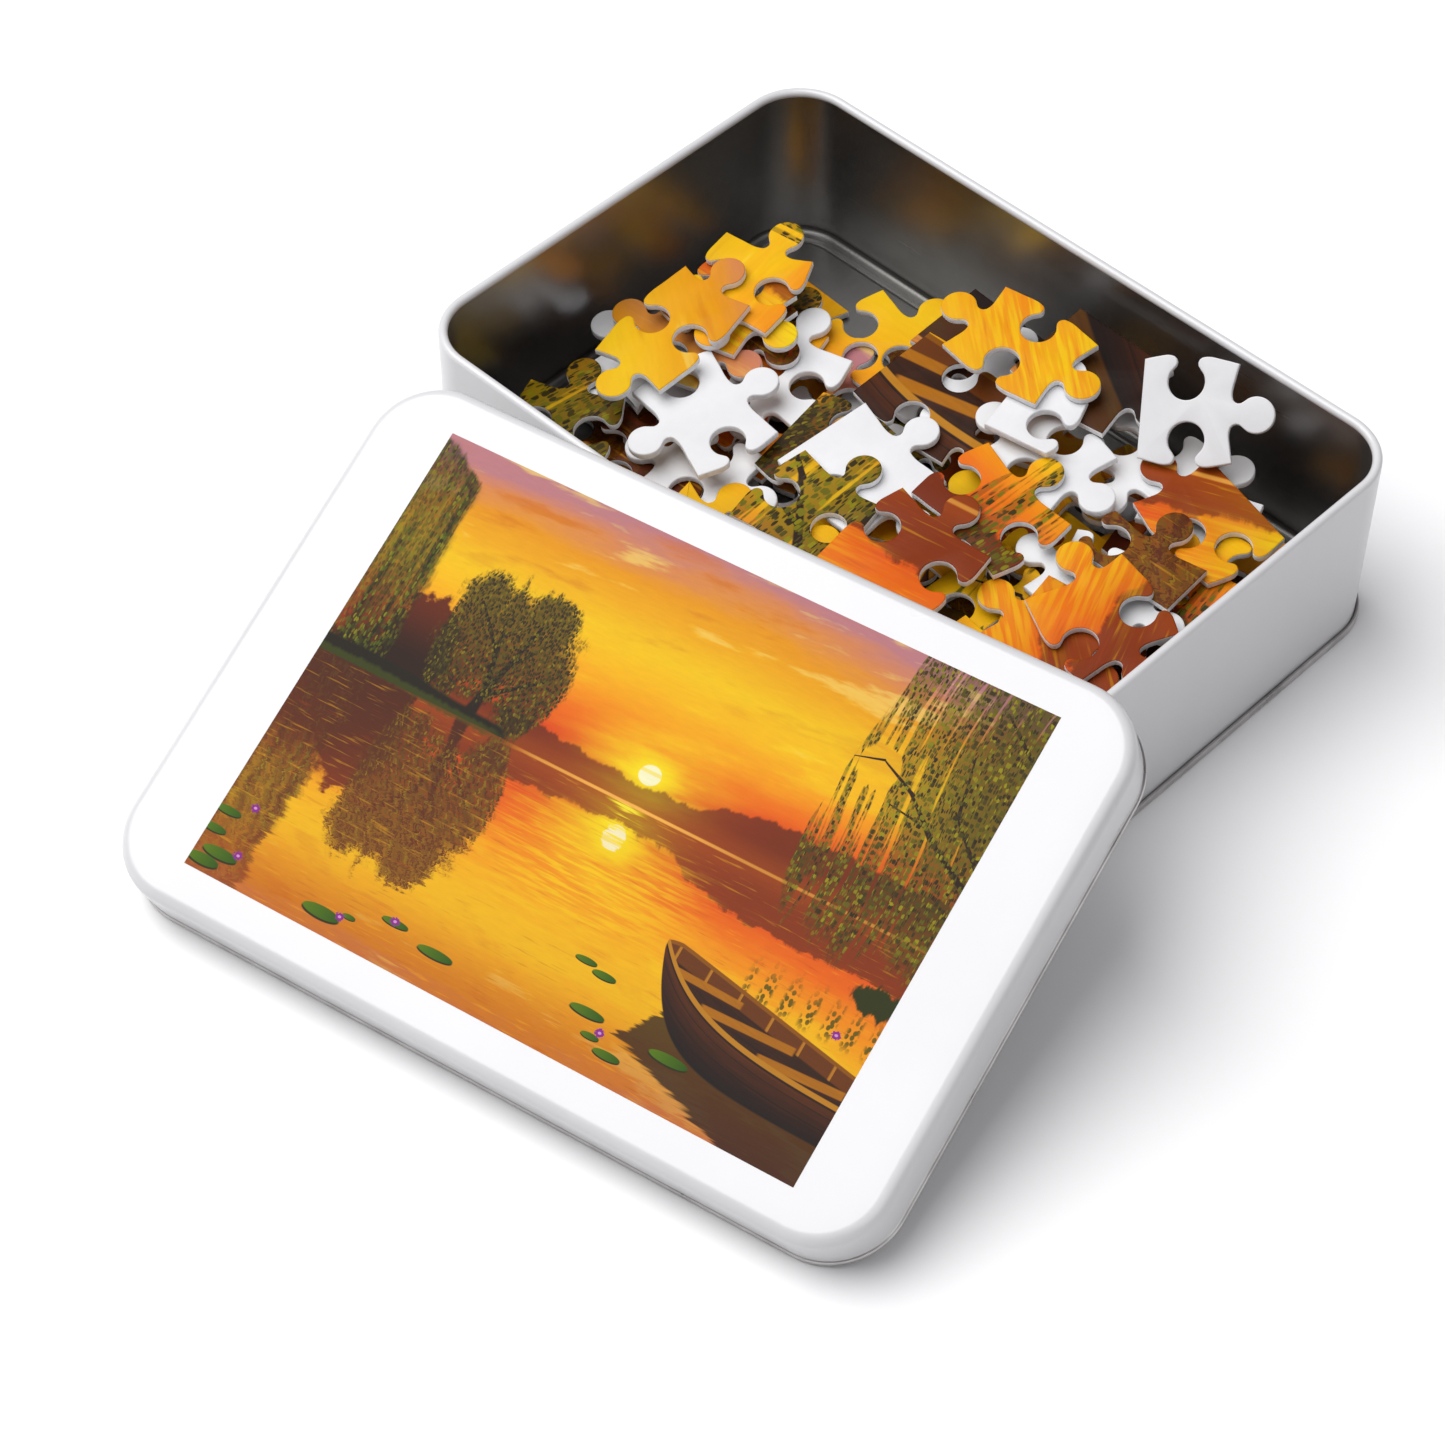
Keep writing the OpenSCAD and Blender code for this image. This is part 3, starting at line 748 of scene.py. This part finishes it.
panel_mesh = bpy.data.meshes.new("lid_picture")
half_long, half_wide = panel_length / 2, panel_width / 2
corners = [(a * half_long, b * half_wide) for a, b in ((-1, -1), (1, -1), (1, 1), (-1, 1))]
panel_mesh.from_pydata([(a, b, 0.02 * MM) for a, b in corners], [], [(0, 1, 2, 3)])
panel_uv = panel_mesh.uv_layers.new(name="picture")
for corner, (a, b) in zip(panel_uv.data, corners):
    corner.uv = ((a + half_long) / panel_width, (b + half_wide) / panel_width)
panel_mesh.transform(lid_place)
placed("lid_picture", panel_mesh, [printed], "lid", ["lid_print"])


# ---- Jigsaw pieces ----
# Two-millimetre grey board, white-lined on the back, with the picture laminated on its face,
# cut by a steel-rule die that rounds the printed edge over a little. They lie as they fell.


def lightened_edge_tones(start):
    place = start.node("ShaderNodeTexCoord", out=3)
    fibre = start.node("ShaderNodeTexNoise", {}, {"Vector": place, "Scale": 700.0, "Detail": 4.0})
    # Painted light: the cut edges are coloured near white. This is partly the board's own pale colour, and
    # partly raised lighter to stand in for light on the edges.
    tint = fibre.ramp((0.3, "E0E0E1"), (0.7, "F0F0F1"))
    bump = start.node("ShaderNodeBump", {}, {"Strength": 0.3, "Distance": 0.0002, "Height": fibre})
    return {"Base Color": tint, "Roughness": 0.8 + 0.1 * fibre, "Normal": bump}


def lining_tones(start):
    place = start.node("ShaderNodeTexCoord", out=3)
    fibre = start.node("ShaderNodeTexNoise", {}, {"Vector": place, "Scale": 380.0, "Detail": 5.0})
    mottle = start.node("ShaderNodeTexNoise", {}, {"Vector": place, "Scale": 60.0, "Detail": 3.0})
    tint = (fibre * 0.5 + mottle * 0.5).ramp((0.25, "C8C8C9"), (0.8, "D0D0D1"))
    bump = start.node("ShaderNodeBump", {}, {"Strength": 0.12, "Distance": 0.0002, "Height": fibre})
    return {"Base Color": tint, "Roughness": 0.55 + 0.2 * fibre, "Normal": bump}


painted_light_board = finish("board_edge_painted_light", lightened_edge_tones)
white_lining = finish("white_lining", lining_tones)

BOARD = 2.0 * MM
ROUNDING = 0.4 * MM
WHOLE_PICTURE = 0.21


def top_loops(node):
    """The top outlines of a node's solids: their normal, and each as points in order."""
    mesh = frame["nodes"][node].data
    welded = {}
    spots = []
    key_of = []
    for vertex in mesh.vertices:
        key = tuple(round(c * 50000) for c in vertex.co)
        if key not in welded:
            welded[key] = len(spots)
            spots.append(vertex.co.copy())
        key_of.append(welded[key])
    areas = {}
    for face in mesh.polygons:
        facing = tuple(round(c, 2) for c in face.normal)
        areas.setdefault(facing, [0, Vector()])
        areas[facing][0] += face.area
        areas[facing][1] += face.normal * face.area
    flat = [total for area, total in sorted(areas.values(), key=lambda a: -a[0])[:2]]
    up = max(flat, key=lambda n: n.dot(Vector((0.45, -0.47, 0.76)))).normalized()
    follow = {}
    seen = set()
    for face in mesh.polygons:
        if face.normal.dot(up) > 0.999:
            ring = [key_of[i] for i in face.vertices]
            for a, b in zip(ring, ring[1:] + ring[:1]):
                if (b, a) in seen:
                    seen.discard((b, a))
                elif a != b:
                    seen.add((a, b))
    for a, b in seen:
        follow.setdefault(a, []).append(b)
    loops = []
    while follow:
        start = min(follow)
        loop = [start]
        spot = follow[start].pop()
        while spot != start:
            loop.append(spot)
            after = follow[spot]
            nxt = after.pop()
            if not after:
                del follow[spot]
            spot = nxt
        if not follow[start]:
            del follow[start]
        loops.append([spots[i] for i in loop])
    return up, loops


def smoothed(points):
    """A closed outline with its curves refined and its corners kept."""
    n = len(points)
    steps = [points[(i + 1) % n] - points[i] for i in range(n)]
    tangents = []
    for i in range(n):
        before, after = steps[i - 1], steps[i]
        turn = before.angle(after)
        if turn > math.radians(50):
            tangents.append(None)
        else:
            a, b = before.length, after.length
            tangents.append(((before / a) * b + (after / b) * a) / (a + b))
    out = []
    for i in range(n):
        p, q = points[i], points[(i + 1) % n]
        long = steps[i].length
        straight = steps[i] / long
        m0 = (tangents[i] or straight) * long
        m1 = (tangents[(i + 1) % n] or straight) * long
        count = max(1, round(long / (0.55 * MM)))
        for k in range(count):
            t = k / count
            out.append(
                p * (2 * t**3 - 3 * t**2 + 1) + m0 * (t**3 - 2 * t**2 + t)
                + q * (-2 * t**3 + 3 * t**2) + m1 * (t**3 - t**2)
            )
    return out


def inset(points, by):
    """The outline drawn in by a distance, mitred at its corners."""
    n = len(points)
    out = []
    for i in range(n):
        a = (points[i] - points[i - 1]).normalized()
        b = (points[(i + 1) % n] - points[i]).normalized()
        across = Vector((-a.y - b.y, a.x + b.x))
        if across.length < 0.3:
            across = Vector((-b.y, b.x))
        across.normalize()
        lean = max(across.dot(Vector((-b.y, b.x))), 0.6)
        out.append(points[i] + across * (by / lean))
    return out


def cut_pieces(node, shows, whole=WHOLE_PICTURE):
    """The mesh of a node's pieces; shows gives each its picture's place and turn, or None face down."""
    up, loops = top_loops(node)
    east = (Vector((1, 0, 0)) - up * up.x).normalized()
    north = up.cross(east)
    points, faces, slots, uvs = [], [], [], []
    for index, loop in enumerate(loops):
        middle = sum(loop, Vector()) / len(loop)
        flat = [Vector(((p - middle).dot(east), (p - middle).dot(north))) for p in loop]
        outline = smoothed(flat)
        n = len(outline)
        shown = shows[index % len(shows)]
        cx, cy, turn = shown or (0.6, 0.3, 0)
        cos, sin = math.cos(math.radians(turn)), math.sin(math.radians(turn))
        base = len(points)
        rings = []
        for by, depth in (
            (ROUNDING, 0),
            (ROUNDING * 0.35, ROUNDING * 0.12),
            (ROUNDING * 0.08, ROUNDING * 0.45),
            (0, ROUNDING),
            (0, BOARD - 0.3 * MM),
            (0.1 * MM, BOARD - 0.07 * MM),
            (0.25 * MM, BOARD),
        ):
            ring = inset(outline, by) if by else outline
            rings.append(ring)
            points += [middle + east * p.x + north * p.y - up * depth for p in ring]

        def spot(p):
            return (cx + (p.x * cos - p.y * sin) / whole, cy + (p.x * sin + p.y * cos) / whole)

        top_slot, bottom_slot = (0, 2) if shown else (2, 0)
        faces.append([base + i for i in range(n)])
        slots.append(top_slot)
        uvs.append([spot(p) for p in rings[0]])
        for k in range(len(rings) - 1):
            for i in range(n):
                j = (i + 1) % n
                square = ((k, i), (k + 1, i), (k + 1, j), (k, j))
                faces.append([base + a * n + b for a, b in square])
                slots.append(top_slot if k < 2 else bottom_slot if k > 4 else 1)
                uvs.append([spot(rings[a][b]) for a, b in square])
        last = base + (len(rings) - 1) * n
        faces.append([last + i for i in reversed(range(n))])
        slots.append(bottom_slot)
        uvs.append([spot(p) for p in reversed(rings[-1])])
    mesh = bpy.data.meshes.new(node + "_cut")
    mesh.from_pydata(points, [], faces)
    mesh.polygons.foreach_set("material_index", slots)
    layer = mesh.uv_layers.new(name="picture")
    flat_uvs = [c for face in uvs for uv in face for c in uv]
    layer.data.foreach_set("uv", flat_uvs)
    return mesh


# What each piece shows: its place in the picture and its turn in degrees, or None where its back is up.
SHOWN = {
    1: (0.985, 0.7, -90), 2: (0.66, 0.84, 35), 3: (1.27, 0.78, 20), 4: (0.95, 0.93, 0), 5: None,
    6: (0.62, 0.4, 0), 7: (0.5, 0.62, 30), 8: (0.25, 0.4, 0), 9: None, 10: None, 11: None,
    12: (0.08, 0.35, 0), 13: (0.62, 0.14, 0), 14: (0.29, 0.66, 20), 15: None, 16: (1.24, 0.72, 10),
    17: (1.0, 0.405, -8), 18: (1.08, 0.6, 15), 19: None, 20: None, 21: (0.7, 0.3, 40), 22: (0.62, 0.72, 0),
    23: (1.13, 0.2, -10), 24: (1.28, 0.07, 30), 25: None, 26: None, 27: (0.58, 0.43, -20),
    28: (0.34, 0.3, 0), 29: (0.93, 0.41, 70), 30: (0.9, 0.415, 40), 31: (1.08, 0.76, 0), 32: (1.05, 0.64, 0),
    33: None, 34: (1.25, 0.02, 0), 35: None, 36: (0.76, 0.3, 0), 37: (0.85, 0.27, 0), 38: (0.5, 0.1, 0),
    39: (0.55, 0.72, 0), 40: (0.55, 0.41, 0), 41: (0.45, 0.94, 0),
}
body_of = {
    node: body for body, nodes in frame["record"]["behaviour"]["bodies"].items() for node in nodes
}
piece_finishes = [printed, painted_light_board, white_lining]



def laid(name, node, shows):
    """Puts a node's pieces in place, each with what it shows."""
    placed(name, cut_pieces(node, shows), piece_finishes, body_of[node], [node], 50)


for number, shown in SHOWN.items():
    laid(f"cut_piece_{number:02d}", f"piece_{number:02d}", [shown])

laid("cut_piece_upright", "piece_upright", [None])

for number in range(1, 6):
    shows = []
    for k in range(14):
        across = 0.15 + 0.23 * ((3 * k + number) % 5)
        upward = 0.1 + 0.19 * ((2 * k + number) % 5)
        shows.append(None if (k + number) % 4 == 0 else (across, upward, 40 * k))
    laid(f"hidden_pieces_{number}", f"layer_{number}", shows)
